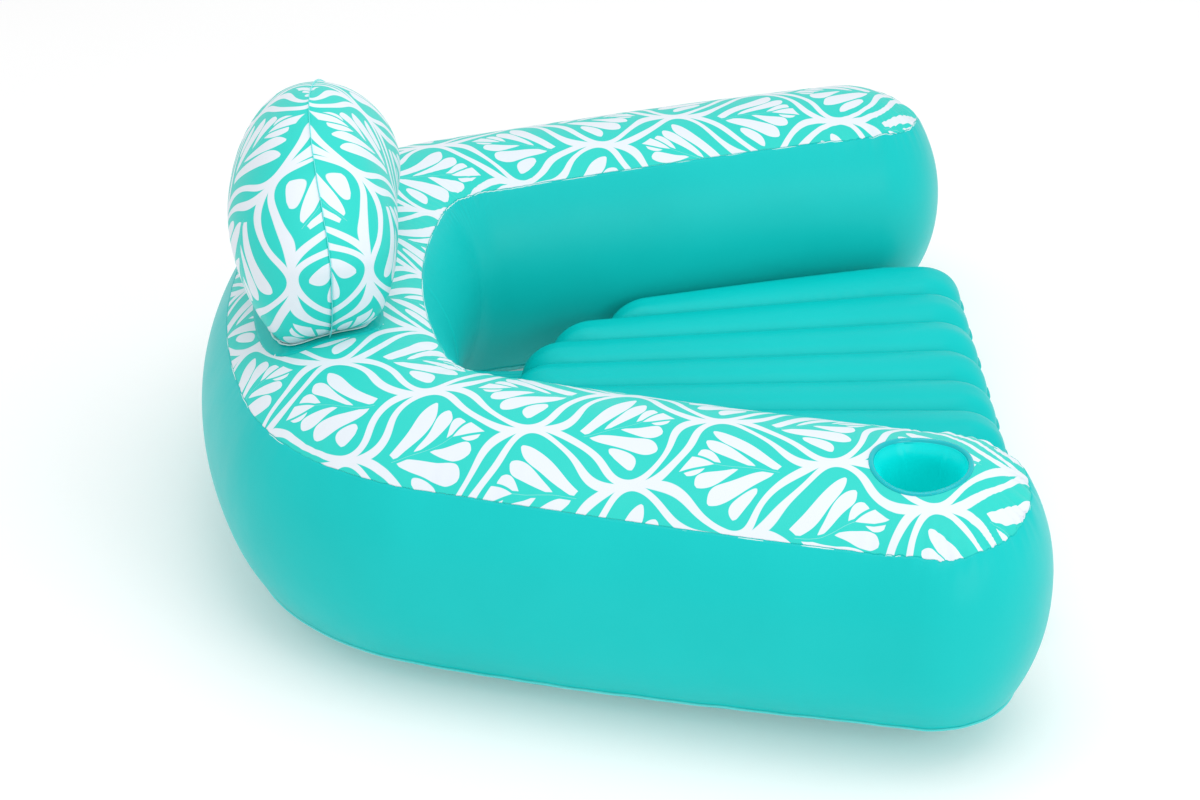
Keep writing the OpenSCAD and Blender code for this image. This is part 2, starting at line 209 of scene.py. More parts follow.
def tangents(path):
    """Unit tangents of a closed path whose last point repeats the first."""
    run = np.roll(path, -1, 0) - np.roll(path, 1, 0)
    run[0] = run[-1] = path[1] - path[-2]
    return run / (np.linalg.norm(run, axis=1)[:, None] + 1e-9)


# ---------------------------------------------------------------- the ring's middle line

FINE = 4000
SMOOTH = 0.045
SMOOTH_N = 19
CORNER_L = CORNER_R * (ARM_TURN - BACK_TURN)
S_END = BACK_HALF_L + CORNER_L + ARM_L
TOP_RADIUS = cap_radius(TOP_W, TOP_RISE)


def heading(s):
    """Heading of the +X half of the middle line at length s from the back's middle."""
    s = np.asarray(s, float)
    back = s / BACK_HALF_L * BACK_TURN
    corner = BACK_TURN + (s - BACK_HALF_L) / CORNER_R
    arm = ARM_TURN + ARM_BEND * np.clip((s - BACK_HALF_L - CORNER_L) / ARM_L, 0, 1) ** 2
    return np.where(s < BACK_HALF_L, back, np.where(s < BACK_HALF_L + CORNER_L, corner, arm))


fine_s = np.linspace(0, S_END, FINE)
fine_h = heading((fine_s[1:] + fine_s[:-1]) / 2)
fine_step = fine_s[1] - fine_s[0]
fine_x = np.concatenate([[0], np.cumsum(np.cos(fine_h)) * fine_step])
fine_y = BACK_Y - np.concatenate([[0], np.cumsum(np.sin(fine_h)) * fine_step])


def line(s):
    """Point, forward direction and outward normal of the middle line. s < 0 is the -X half."""
    s = np.asarray(s, float)
    side = np.where(s < 0, -1.0, 1.0)
    a = np.abs(s)
    # smooth heading, so that curvature does not jump where the corner meets the back and the arm
    spread = np.linspace(-SMOOTH, SMOOTH, SMOOTH_N)
    h = sum(np.sign(a + d) * heading(np.clip(np.abs(a + d), 0, S_END)) for d in spread) / len(spread)
    point = np.stack([side * np.interp(a, fine_s, fine_x), np.interp(a, fine_s, fine_y)], -1)
    ahead = np.stack([side * np.cos(h), -np.sin(h)], -1)
    normal = np.stack([side * np.sin(h), np.cos(h)], -1)
    return point, ahead, normal


def line_end(end):
    """Point, forward direction and outward normal at one end of the middle line."""
    return (a[-1] for a in line(np.array([end, end])))


TIP_L = TOP_W * 1.55


def perimeter(s, angle=None, outer=True):
    """Length along the seam loop, for wrinkles that match on both sides of a seam."""
    if angle is not None:
        tip = S_END + TIP_L * angle / math.pi * 2
        return np.where(s < 0, -tip, tip)
    if outer:
        return s
    return np.where(s < 0, -(S_END + 2 * TIP_L) - (S_END + s), (S_END + 2 * TIP_L) + (S_END - s))


def bump_at(x, centre, width):
    """A smooth bump, 1 at its centre."""
    return np.exp(-((x - centre) / width) ** 2)


def pucker(p):
    """Rows of small soft puckers along a seam, from 0 in a fold to 1 on a crest, uneven in length."""
    q = p + 0.006 * np.sin(p * 41) + 0.004 * np.sin(p * 97 + 1.3)
    fine = np.abs(np.sin(np.pi * q / 0.0155)) ** 0.8
    coarse = 0.5 + 0.5 * np.sin(p * 118 + 1.7 * np.sin(p * 23))
    return 0.6 * fine + 0.4 * coarse


def seam_amp(p):
    """How strongly the top seam is puckered: most round the tips, less at the back corners."""
    a = np.abs(p)
    past_start = 1 + np.exp(-(a - S_END + 0.05) / 0.02)
    past_finish = 1 + np.exp((a - S_END - 2 * TIP_L - 0.05) / 0.02)
    tips = 1 / past_start / past_finish
    corner_s = BACK_HALF_L + CORNER_L / 2
    outer = bump_at(a, corner_s, 0.17)
    inner = bump_at(a, 2 * S_END + 2 * TIP_L - corner_s, 0.16)
    return 0.0003 + 0.0032 * tips + 0.0010 * outer + 0.0014 * inner


def seam_move(p):
    """(inward, downward) shift of the top seam's edge at length p along it."""
    k = seam_amp(p) * (1 - pucker(p))
    return k, seam_amp(p) * (1.1 * (1 - pucker(p + 0.005)) - 0.45 * np.sin(p * 67 + 2))


# ---------------------------------------------------------------- ring panels

STEP = 0.0036
BODY_N = int(S_END / STEP)
TIP_N = 44
LOOP_TIP_N = 90


def stations():
    """(s, tip angle) from the -X tip round the back to the +X tip."""
    phi = np.linspace(0, math.pi / 2, TIP_N)[1:]
    s = np.linspace(-S_END, S_END, 2 * BODY_N + 1)
    all_s = np.concatenate([np.full(len(phi), -S_END), s, np.full(len(phi), S_END)])
    all_phi = np.concatenate([phi[::-1], np.zeros(len(s)), phi])
    return all_s, all_phi


def spread_across(cols, end):
    """Steps from -1 to 1 across a panel, closer together toward its seams."""
    return np.sin(np.linspace(-math.pi / 2, math.pi / 2, cols) * end) / math.sin(math.pi / 2 * end)


def ring_panel(w, q):
    """Grid of a panel that spans the ring's section from seam to seam and closes round both tips:
    middle line, unit places across and along, and perimeter length and distance to the seam."""
    s, phi = stations()
    c, h, n = line(s)
    across = q[None, :] * np.cos(phi)[:, None]
    along = np.broadcast_to(np.sin(phi)[:, None], across.shape)
    rho = np.sqrt(across ** 2 + along ** 2)
    angle = np.arctan2(along, across)
    ss = np.broadcast_to(s[:, None], across.shape)
    body = (phi == 0)[:, None]
    p = np.where(body, np.where(across >= 0, perimeter(ss), perimeter(ss, outer=False)),
                 perimeter(ss, angle))
    edge = (1 - rho) * w
    return s, c, h, n, across, along, rho, p, edge


def dome(rho, radius, half_width, rise):
    """Height of a panel's dome at rho of its half width."""
    return np.sqrt(radius ** 2 - (np.minimum(rho, 1) * half_width) ** 2) - (radius - rise)


def top_skin():
    """The printed top of the ring, with the print's flat coordinates."""
    s, c, h, n, across, along, rho, p, edge = ring_panel(TOP_W, spread_across(81, 0.86))
    pull_in, pull_down = seam_move(p)
    amp = seam_amp(p)
    fall = np.exp(-edge / 0.011)
    fold = np.exp(-edge / 0.026) * (1 - np.exp(-edge / 0.006))
    k = np.clip(rho, 1e-6, None)
    r_cut = pull_in * fall
    u = across * TOP_W - across / k * r_cut
    v = along * TOP_W * TIP_BLUNT - along / k * r_cut
    # crown swells just inside a tightly puckered seam, with small folds running off it
    dz = -pull_down * fall + 1.7 * amp * (pucker(p) - 0.55) * fold
    off, z = tilted(u, dome(rho, TOP_RADIUS, TOP_W, TOP_RISE) + dz)
    xy = c[:, None, :] + n[:, None, :] * off[..., None] + h[:, None, :] * v[..., None]
    pts = np.concatenate([xy, z[..., None]], -1)
    # the sheet's own flat coordinates: the print was flat before the panel was cut from it
    arc = TOP_RADIUS * np.arcsin(np.clip(u / TOP_RADIUS, -1, 1))
    flat = c[:, None, :] + n[:, None, :] * arc[..., None] + h[:, None, :] * (v * 1.04)[..., None]
    uv = np.stack([-flat[..., 1], flat[..., 0]], -1)
    return pts, uv


def cut_hole(ob, centre, axis, radius):
    """Opens a round hole in a film, with its edge drawn onto the circle."""
    bm = bmesh.new()
    bm.from_mesh(ob.data)
    c = Vector(centre)
    a = Vector(axis).normalized()

    def from_axis(vert):
        d = vert.co - c
        return d - a * d.dot(a)

    inside = {vert for vert in bm.verts if from_axis(vert).length < radius}
    gone = [f for f in bm.faces if all(v in inside for v in f.verts)]
    bmesh.ops.delete(bm, geom=gone, context="FACES")
    for vert in bm.verts:
        flat = from_axis(vert)
        if 1e-6 < flat.length < radius:
            vert.co = vert.co + flat.normalized() * (radius - flat.length)
    bmesh.ops.dissolve_degenerate(bm, edges=bm.edges, dist=1e-5)
    bm.to_mesh(ob.data)
    bm.free()
    ob.data.update()


def loop_frame():
    """The seam loop round the whole ring: centre, outward direction, side factor, tip factor, place on
    the middle line and perimeter length."""
    s = np.linspace(-S_END, S_END, 2 * BODY_N + 1)
    t = np.linspace(0, math.pi, LOOP_TIP_N)[1:-1]
    parts = []
    for run, end, turn, side in ((s, S_END, t, 1.0), (s[::-1], -S_END, t[::-1], -1.0)):
        c, h, n = line(run)
        parts.append((c, side * n, np.full(len(run), side), np.zeros(len(run)), run,
                      perimeter(run, outer=side > 0)))
        ce, he, ne = line_end(end)
        d = np.cos(turn)[:, None] * ne + TIP_BLUNT * np.sin(turn)[:, None] * he
        ends = np.full(len(turn), end)
        parts.append((np.broadcast_to(ce, d.shape), d, np.cos(turn), np.sin(turn), ends,
                      perimeter(ends, turn)))
    out = [np.concatenate([p[i] for p in parts]) for i in range(6)]
    return [np.concatenate([a, a[:1]]) for a in out]


LOOP = loop_frame()


def seam_edge(p, side):
    """(radius, height) of the top seam for the loop's outward direction, with its puckers."""
    pull_in, pull_down = seam_move(p)
    r = TOP_W - pull_in
    n = r * side
    return (r * (1 + (math.cos(TOP_TILT) - 1) * side ** 2) - pull_down * math.sin(TOP_TILT) * side,
            TOP_Z - n * math.sin(TOP_TILT) - pull_down * math.cos(TOP_TILT))


def base_lift(s):
    """How far the ring's underside curls up off the ground toward the ends of the arms."""
    t = np.clip((np.abs(s) - LIFT_FROM) / (S_END - LIFT_FROM), 0, 1)
    return LIFT * t * t * (3 - 2 * t)


def base_edge(p):
    """(radius, height) of the slightly wavy base seam."""
    wave = 0.0006 * np.sin(p * 55 + np.sin(p * 17)) + 0.0004 * np.sin(p * 131)
    return BASE_W + wave, BASE_Z + 1.2 * wave


WALL_ROWS = 72


def wall_points():
    """The plain wall, from the top seam down to the base seam, all the way round the ring."""
    c, d, side, tip, s, p = LOOP
    v = np.linspace(0, 1, WALL_ROWS)[None, :]
    v = v - 0.10 * np.sin(2 * np.pi * v) / (2 * np.pi)
    r0, z0 = seam_edge(p, side)
    r1, z1 = base_edge(p)
    bulge = BULGE_OUT + (BULGE_IN - BULGE_OUT) * (1 - side) / 2 - BULGE_DROP_AT_TIP * tip
    arch = 1 - np.abs(2 * v - 1) ** 2.15
    near = v * WALL_H
    low = (1 - v) * WALL_H
    top_r = TOP_W * (1 + (math.cos(TOP_TILT) - 1) * side ** 2)
    top_z = TOP_Z - TOP_W * side * math.sin(TOP_TILT)
    rise = base_lift(s)
    at_top = np.exp(-near / 0.009)
    at_low = np.exp(-low / 0.012)
    r = top_r[:, None] * (1 - v) + BASE_W * v + bulge[:, None] * arch
    r = r + (r0 - top_r)[:, None] * at_top + (r1 - BASE_W)[:, None] * at_low
    z = top_z[:, None] * (1 - v) + (BASE_Z + rise)[:, None] * v
    z = z + (z0 - top_z)[:, None] * at_top + (z1 - BASE_Z)[:, None] * at_low
    amp = seam_amp(p)[:, None]
    fold = np.exp(-near / 0.014) * (1 - np.exp(-near / 0.004))
    r = r + 0.7 * amp * (pucker(p)[:, None] - 0.55) * fold
    # slack film over the base seam
    slack = 0.0009 * np.sin(p * 33 + 2 * np.sin(p * 9))[:, None]
    r = r + slack * np.exp(-low / 0.03) * (1 - np.exp(-low / 0.01))
    # broad, shallow unevenness of a blown-up wall
    r = r + 0.0011 * np.sin(p * 6.1 + 1)[:, None] * np.sin(np.pi * v)
    r = r + 0.0003 * np.sin(p[:, None] * 9 + 4 * v)
    xy = c[:, None, :] + d[:, None, :] * r[..., None]
    return np.concatenate([xy, z[..., None]], -1), p, v


def near_valve(pts, centre, axis, reach=0.045):
    """Draws a film smoothly onto the flange of a valve at centre."""
    c = np.array(centre)
    a = np.array(axis)
    d = pts - c
    off = d @ a
    radial = np.linalg.norm(d - off[..., None] * a, axis=-1)
    w = np.exp(-(np.clip(radial - 0.012, 0, None) / reach * 1.6) ** 2) * (np.abs(off) < 0.05)
    return pts - (w * off)[..., None] * a


def node_centre(name):
    """Middle of a CAD node's box."""
    lo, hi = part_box(name)
    return (np.array(lo) + np.array(hi)) / 2


# ---------------------------------------------------------------- materials

class V:
    """A value in a node tree, so that patterns read as sums."""
    tree = None

    def __init__(self, sock):
        self.s = sock

    @staticmethod
    def op(kind, *args):
        node = V.tree.nodes.new("ShaderNodeMath")
        node.operation = kind
        for i, a in enumerate(args):
            if isinstance(a, V):
                V.tree.links.new(a.s, node.inputs[i])
            else:
                node.inputs[i].default_value = a
        return V(node.outputs[0])

    def __add__(self, o):
        return V.op("ADD", self, o)

    def __sub__(self, o):
        return V.op("SUBTRACT", self, o)

    def __rsub__(self, o):
        return V.op("SUBTRACT", o, self)

    def __mul__(self, o):
        return V.op("MULTIPLY", self, o)

    def __truediv__(self, o):
        return V.op("DIVIDE", self, o)


def absv(a):
    return V.op("ABSOLUTE", a)


def sinv(a):
    return V.op("SINE", a)


def cosv(a):
    return V.op("COSINE", a)


def frac(a):
    return V.op("FRACT", a)


def step(a, edge, soft):
    """0 below edge, 1 above it, over a soft width."""
    node = V.tree.nodes.new("ShaderNodeMapRange")
    node.interpolation_type = "SMOOTHSTEP"
    V.tree.links.new(a.s, node.inputs["Value"])
    for key, val in (("From Min", edge - soft), ("From Max", edge + soft)):
        node.inputs[key].default_value = val
    return V(node.outputs["Result"])


def noise(coord, scale, detail=2.0):
    """Soft noise from 0 to 1 over a coordinate."""
    node = V.tree.nodes.new("ShaderNodeTexNoise")
    node.inputs["Scale"].default_value = scale
    node.inputs["Detail"].default_value = detail
    V.tree.links.new(coord, node.inputs["Vector"])
    return V(node.outputs["Fac"])


def mix(a, b, fac):
    """Colour between a and b, each a tuple or a socket."""
    node = V.tree.nodes.new("ShaderNodeMix")
    node.data_type = "RGBA"
    V.tree.links.new(fac.s, node.inputs[0])
    for sock, val in ((node.inputs[6], a), (node.inputs[7], b)):
        if isinstance(val, tuple):
            sock.default_value = (*val, 1)
        else:
            V.tree.links.new(val, sock)
    return node.outputs[2]


def srgb(r, g, b):
    """Linear colour from 8-bit display values."""
    return tuple((c / 255 / 12.92) if c < 11 else ((c / 255 + 0.055) / 1.055) ** 2.4 for c in (r, g, b))


def start(name):
    """A new material, its shader and its texture coordinates."""
    mat = bpy.data.materials.new(name)
    mat.use_nodes = True
    V.tree = mat.node_tree
    shader = V.tree.nodes["Principled BSDF"]
    coord = V.tree.nodes.new("ShaderNodeTexCoord")
    return mat, shader, coord


def vinyl_finish(shader, coord, rough, bump):
    """Soft film: slightly uneven gloss and a fine hide-like grain."""
    obj = coord.outputs["Object"]
    r = noise(obj, 18.0) * 0.12 + (rough - 0.06)
    V.tree.links.new(r.s, shader.inputs["Roughness"])
    height = noise(obj, 900.0, 1.0) * 0.5 + noise(obj, 55.0) * 0.9 + noise(obj, 14.0) * 2.2
    node = V.tree.nodes.new("ShaderNodeBump")
    node.inputs["Strength"].default_value = bump
    node.inputs["Distance"].default_value = 0.0006
    V.tree.links.new(height.s, node.inputs["Height"])
    V.tree.links.new(node.outputs[0], shader.inputs["Normal"])
    shader.inputs["Specular IOR Level"].default_value = 0.16


def plain_vinyl(name, colour, other, rough, bump, coat=0.0, painted_glow=0.0):
    """One-colour film that drifts a little between two near shades, with an optional painted glow."""
    mat, shader, coord = start(name)
    cloudy = step(noise(coord.outputs["Object"], 5.0, 3.0), 0.5, 0.3)
    V.tree.links.new(mix(colour, other, cloudy), shader.inputs["Base Color"])
    vinyl_finish(shader, coord, rough, bump)
    shader.inputs["Coat Weight"].default_value = coat
    shader.inputs["Coat Roughness"].default_value = 0.15
    # painted glow: the film emits its own colour, standing in for light that comes through the thin film
    # from the lit chamber behind it
    shader.inputs["Emission Color"].default_value = (*colour, 1)
    shader.inputs["Emission Strength"].default_value = painted_glow
    return mat


PRINT_TEAL = srgb(54, 216, 204)
PRINT_TEAL_2 = srgb(44, 209, 198)
PRINT_WHITE = srgb(233, 240, 247)
PRINT_WHITE_2 = srgb(226, 235, 243)
CELL_L = 0.209
CELL_B = 0.088


BAND_W = 0.0090
MARGIN = 0.0120
PITCH = 0.0350
LAST_AT = 0.235
LAST_L = 0.030
LAST_W = 0.0085
VEIN_W = 0.0034
SOFT = 0.0004


def leaf_print(name, shift):
    """A generic all-over leaf print: staggered pointed cells, each outlined in white, with a
    midrib and swept side veins that part its white lobes."""
    mat, shader, coord = start(name)
    uvn = V.tree.nodes.new("ShaderNodeUVMap")
    uvn.uv_map = "Print"
    sep = V.tree.nodes.new("ShaderNodeSeparateXYZ")
    V.tree.links.new(uvn.outputs[0], sep.inputs[0])
    u0, v0 = V(sep.outputs[0]), V(sep.outputs[1])
    # hand-drawn waver
    u = u0 + shift[0] + sinv(v0 * 43.0 + u0 * 7.0) * 0.0045 + sinv(v0 * 97.0 + 1.0) * 0.0012
    v = v0 + shift[1] + sinv(u0 * 31.0 + v0 * 9.0) * 0.0060 + sinv(u0 * 88.0 + v0 * 15.0) * 0.0020
    x = frac(u / CELL_L) - 0.5
    y = frac(v / (2 * CELL_B)) * 2.0 - 1.0
    h = cosv(x * (2 * math.pi)) * 0.5 + 0.5
    slope = sinv(x * (2 * math.pi)) * (math.pi * CELL_B / CELL_L)
    norm = V.op("SQRT", slope * slope + 1.0)
    gap_h = h - absv(y)
    in_a = step(gap_h, 0.0, 0.0001)
    dist = absv(gap_h) * CELL_B / norm
    # local coordinates of the cell that holds the point, its tip toward +u in one, -u in the other
    sign_x = V.op("SIGN", x)
    sign_y = V.op("SIGN", y)
    lx_b = (x - sign_x * 0.5) * (-CELL_L)
    ly_b = (absv(y) - 1.0) * sign_y * CELL_B
    lx = (x * CELL_L) * in_a + lx_b * (1.0 - in_a)
    ly = (y * CELL_B) * in_a + ly_b * (1.0 - in_a)
    # neighbouring outlines part in the middle of each edge and run together at the cells' tips
    mid = sinv(x * (2 * math.pi))
    parted = mid * mid * 0.0085 - 0.0018
    d = dist - parted
    outline = step(d, 0.0, SOFT) * (1.0 - step(d, BAND_W, SOFT))
    inner = d - (BAND_W + MARGIN)
    # midrib with a slow curve, and pointed white lobes swept toward the tip on both sides of it
    rib = ly - sinv(lx * (2 * math.pi / CELL_L)) * 0.010
    away = absv(rib)
    side = V.op("SIGN", rib)
    sweep = lx - away * 1.75 + away * away * 9.0 + side * 0.008
    t = absv(frac(sweep / PITCH) - 0.5) * PITCH
    share = V.op("MAXIMUM", away - 0.0012, 0.0) / (V.op("MAXIMUM", inner, 0.0) + away + 0.0001)
    swell = V.op("POWER", V.op("MAXIMUM", share * (1.0 - share) * 4.0, 0.0), 0.90)
    swept = step(swell * (PITCH * 0.465) - t, 0.0, SOFT) * step(inner, 0.0, SOFT)
    # the last lobe lies along the midrib, near the cell's tip
    end = (lx - CELL_L * LAST_AT) / LAST_L
    hull = V.op("MAXIMUM", 1.0 - end * end, 0.0)
    last = step(hull * LAST_W - away, 0.0, SOFT) * step(inner, -0.004, SOFT)
    clear = step(hull * LAST_W + VEIN_W - away, 0.0, SOFT)
    lobes = V.op("MAXIMUM", swept * (1.0 - clear), last)
    white = V.op("MAXIMUM", outline, lobes)
    tone = noise(coord.outputs["Object"], 7.0)
    teal = mix(PRINT_TEAL, PRINT_TEAL_2, tone)
    pale = mix(PRINT_WHITE, PRINT_WHITE_2, tone)
    V.tree.links.new(mix(teal, pale, white), shader.inputs["Base Color"])
    vinyl_finish(shader, coord, 0.40, 0.30)
    return mat


WALL = plain_vinyl("wall_vinyl", srgb(14, 197, 194), srgb(20, 203, 200), 0.37, 0.35)
SEAT = plain_vinyl("seat_vinyl_film", srgb(0, 196, 194), srgb(0, 203, 201), 0.42, 0.5)
PATCH = plain_vinyl("patch_vinyl", srgb(0, 196, 190), srgb(8, 204, 198), 0.34, 0.3)
# the cup's film has a painted glow: it emits its own teal, standing in for light that comes through the thin
# film
CUP_VINYL_PAINTED_GLOW = plain_vinyl("cup_vinyl_painted_glow", srgb(0, 206, 204), srgb(10, 216, 214), 0.28, 0.4, painted_glow=0.22)
SEAM = plain_vinyl("seam_film", srgb(206, 240, 240), srgb(225, 246, 247), 0.28, 0.3)
SEAM_TEAL = plain_vinyl("seam_film_teal", srgb(95, 228, 226), srgb(120, 236, 234), 0.28, 0.3)
RIM = plain_vinyl("clear_blue_film", srgb(0, 184, 192), srgb(10, 196, 204), 0.18, 0.2, coat=0.4)
RIM_EDGE = plain_vinyl("clear_blue_edge", srgb(0, 104, 156), srgb(6, 120, 168), 0.18, 0.2, coat=0.4)
VALVE = plain_vinyl("valve_moulding", srgb(214, 232, 232), srgb(224, 240, 240), 0.35, 0.2)
RING_PRINT = leaf_print("ring_print", (0.097, -0.010))
FRONT_PRINT = leaf_print("headrest_front_print", (0.115, 0.044))
REAR_PRINT = leaf_print("headrest_rear_print", (0.119, 0.040))


# ---------------------------------------------------------------- ring

top_pts, top_uv = top_skin()
ring_top = sheet_mesh("ring_top_skin", top_pts, top_uv, flip=True)
cup_axis = Vector((-math.sin(TOP_TILT) * 0.965, math.sin(TOP_TILT) * 0.262, math.cos(TOP_TILT)))
cut_hole(ring_top, CUP, cup_axis, CUP_RIM_R - 0.0016)
thicken(ring_top)
keep(ring_top, BODY, RING_PRINT, ["ring_top_panel"])

wall_pts, wall_p, wall_v = wall_points()
ring_valve = node_centre("ring_valve_stem")
ring_valve_out = np.array([math.sin(RING_VALVE_A), math.cos(RING_VALVE_A), 0])
wall_pts = near_valve(wall_pts, ring_valve + ring_valve_out * VALVE_MID_DOWN, ring_valve_out)
wall_uv = np.stack([np.broadcast_to(wall_p[:, None], wall_pts.shape[:2]),
                    np.broadcast_to(wall_v * WALL_H, wall_pts.shape[:2])], -1)
ring_wall = sheet_mesh("ring_wall_skin", wall_pts, wall_uv, flip=True)
thicken(ring_wall)
keep(ring_wall, BODY, WALL, ["ring_outer_wall", "ring_inner_wall"])


def base_skin():
    """The ring's underside, which sags between its seams and lies flat where it meets the ground."""
    s, c, h, n, across, along, rho, p, edge = ring_panel(BASE_W, spread_across(41, 0.9))
    sag = dome(rho, cap_radius(BASE_W, BASE_SAG), BASE_W, BASE_SAG)
    r1, z1 = base_edge(p)
    fall = np.exp(-edge / 0.012)
    k = np.clip(rho, 1e-6, None)
    u = across * BASE_W + across / k * (r1 - BASE_W) * fall
    v = along * BASE_W * TIP_BLUNT + along / k * (r1 - BASE_W) * fall
    rise = base_lift(s)[:, None]
    z = BASE_Z + rise + (z1 - BASE_Z) * fall - sag * (1 - 4 * rise)
    soft = 0.004
    z = 0.5 * (z + np.sqrt(z ** 2 + soft ** 2)) - 0.5 * soft * np.exp(-np.abs(z) / soft)
    z = np.clip(z, 0, None)
    xy = c[:, None, :] + n[:, None, :] * u[..., None] + h[:, None, :] * v[..., None]
    return np.concatenate([xy, z[..., None]], -1)


base = sheet_mesh("ring_base_skin", base_skin())
thicken(base)
keep(base, BODY, WALL, ["ring_base_panel"])


def bead(name, centre, out, up, width, thick, droop=0.0):
    """A welded seam's edge as a closed strip: a flat fin with a rounded lip."""
    a = np.linspace(0, 2 * math.pi, 13)
    sec_o = 0.5 * width * (1 + np.sign(np.cos(a)) * np.abs(np.cos(a)) ** 0.7) - 0.0010
    sec_u = 0.5 * thick * np.sign(np.sin(a)) * np.abs(np.sin(a)) ** 0.8 - droop * (sec_o / width) ** 2
    pts = centre[:, None, :] + out[:, None, :] * sec_o[None, :, None] + up[:, None, :] * sec_u[None, :, None]
    return sheet_mesh(name, pts)


def loop_bead(name, radius, z, size, lift, droop):
    """A welded edge round the whole ring, turned down from the level by lift."""
    c, d = LOOP[:2]
    out = d / np.linalg.norm(d, axis=1)[:, None]
    ctr = np.concatenate([c + d * radius[:, None], z[:, None]], -1)
    cos = np.broadcast_to(np.cos(lift), len(out))[:, None]
    sin = np.broadcast_to(np.sin(lift), len(out))[:, None]
    return bead(name, ctr, np.concatenate([out * cos, -sin], -1), np.concatenate([out * sin, cos], -1),
                *size, droop)


loop_p, loop_side = LOOP[5], LOOP[2]
r_top, z_top = seam_edge(loop_p, loop_side)
top_bead = loop_bead("ring_top_seam_edge", r_top, z_top, TOP_BEAD,
                     TOP_TILT * loop_side + 0.35 + 0.15 * np.sin(loop_p * 90), 0.0004)
keep(top_bead, BODY, SEAM, ["ring_top_seam"])
r_base, z_base = base_edge(loop_p)
z_base = z_base + base_lift(LOOP[4])
base_bead = loop_bead("ring_base_seam_edge", r_base, z_base, BASE_BEAD, 0.35, 0.0006)
keep(base_bead, BODY, SEAM_TEAL, ["ring_base_seam"])


# ---------------------------------------------------------------- headrest

def super_cos(t, p):
    """Superelliptic cosine of a sine value t."""
    return np.power(np.clip(1 - np.abs(t) ** p, 0, None), 1 / p)


def head_place(s, n):
    """Puts a point at length s along the bowed back and n behind its middle line."""
    a = s / HEAD_R
    r = HEAD_R + n + HEAD_BACK
    return np.stack([r * np.sin(a), BACK_Y - HEAD_R + r * np.cos(a)], -1)


def head_half(rear):
    """Front or rear panel of the headrest: rows go up from the weld to the ridge, columns end to end."""
    low = -(HEAD_MID_Z - HEAD_BASE_Z) / HEAD_LOW
    th = np.linspace(math.asin(low), math.pi / 2, HEAD_ROWS)
    th[-1] = math.pi / 2 - 0.004
    sn = np.sin(th)
    z = HEAD_MID_Z + np.where(sn > 0, (HEAD_TOP_Z - HEAD_MID_Z) * sn, HEAD_LOW * sn)
    a = HEAD_L * np.where(sn > 0, super_cos(sn, 1.66), super_cos(sn, 4.0))
    b = HEAD_T * np.where(sn > 0, super_cos(sn, 1.68), super_cos(sn, 2.0))
    w = np.linspace(0, math.pi, HEAD_COLS)
    w = w - 0.18 * np.sin(2 * w)
    cs, ss = np.cos(w), np.sin(w)
    low_mix = np.exp(-(z - HEAD_BASE_Z) / 0.045)[:, None]
    plan_l = PLAN_L + (PLAN_LOW - PLAN_L) * low_mix
    plan_t = PLAN_T + (PLAN_LOW - PLAN_T) * low_mix
    sx = a[:, None] * np.sign(cs) * np.abs(cs) ** (2 / plan_l)
    nt = b[:, None] * np.abs(ss) ** (2 / plan_t)
    # puckers along the ridge seam, and shallow folds that run off it
    p = sx + 2.0 * z[:, None]
    crown = np.exp(-nt / 0.010)
    dip = 0.0022 * (pucker(p * 0.62) - 0.6) * crown * (1 - np.exp(-nt / 0.002))
    low_d = (z - HEAD_BASE_Z)[:, None]
    dip = dip + 0.0018 * (pucker(sx * 0.9 + 3) - 0.6) * np.exp(-low_d / 0.012)
    nt = np.clip(nt + dip * (nt > 1e-6), 0, None)
    zz = np.broadcast_to(z[:, None], sx.shape) + 0.0016 * (np.sin(p * 70) * np.exp(-nt / 0.006))
    n = nt if rear else -nt
    xy = head_place(sx, n)
    pts = np.concatenate([xy, zz[..., None]], -1)
    # flat coordinates of the panel before it was sewn
    up = np.concatenate([[0], np.cumsum(np.hypot(np.diff(z), np.diff(b)))])
    steps = np.hypot(np.diff(sx, axis=1), np.diff(nt, axis=1))
    along = np.concatenate([np.zeros((len(z), 1)), np.cumsum(steps, 1)], 1)
    middle = HEAD_COLS // 2
    along = along - along[:, middle:middle + 1]
    uv = np.stack([np.broadcast_to(up[:, None], sx.shape), along], -1)
    return pts, uv


def dome_z(n):
    """Height of the ring's domed top at the back, n outward from the middle line. The tilt carries the
    dome outward, so the place under it is found step by step."""
    up = 0.0
    for _ in range(6):
        u = (n - up * math.sin(TOP_TILT)) / math.cos(TOP_TILT)
        up = np.sqrt(np.clip(TOP_RADIUS ** 2 - u ** 2, 0, None)) - (TOP_RADIUS - TOP_RISE)
    return tilted(u, up)[1]


def back_offset(pts):
    """How far points lie outward from the ring's middle line at the back."""
    return np.hypot(pts[:, 0], pts[:, 1] - (BACK_Y - HEAD_R)) - HEAD_R


head_valve = node_centre("headrest_valve_stem")
head_valve_out = np.array([math.sin(HEAD_VALVE_A), math.cos(HEAD_VALVE_A), 0])
for is_rear, nm, mat, node in ((False, "headrest_front_skin", FRONT_PRINT, "headrest_front_panel"),
                               (True, "headrest_rear_skin", REAR_PRINT, "headrest_rear_panel")):
    pts, uv = head_half(is_rear)
    # the lower edge follows the dome it is welded to
    foot = dome_z(back_offset(pts[0])) + FOOT_RISE
    drop = (foot - HEAD_BASE_Z)[None, :] * np.exp(-(pts[..., 2] - HEAD_BASE_Z) / 0.03)
    pts[..., 2] += drop
    if is_rear:
        pts = near_valve(pts, head_valve + head_valve_out * VALVE_MID_DOWN, head_valve_out, 0.05)
    ob = sheet_mesh(nm, pts, uv, flip=is_rear)
    thicken(ob)
    keep(ob, BODY, mat, [node])


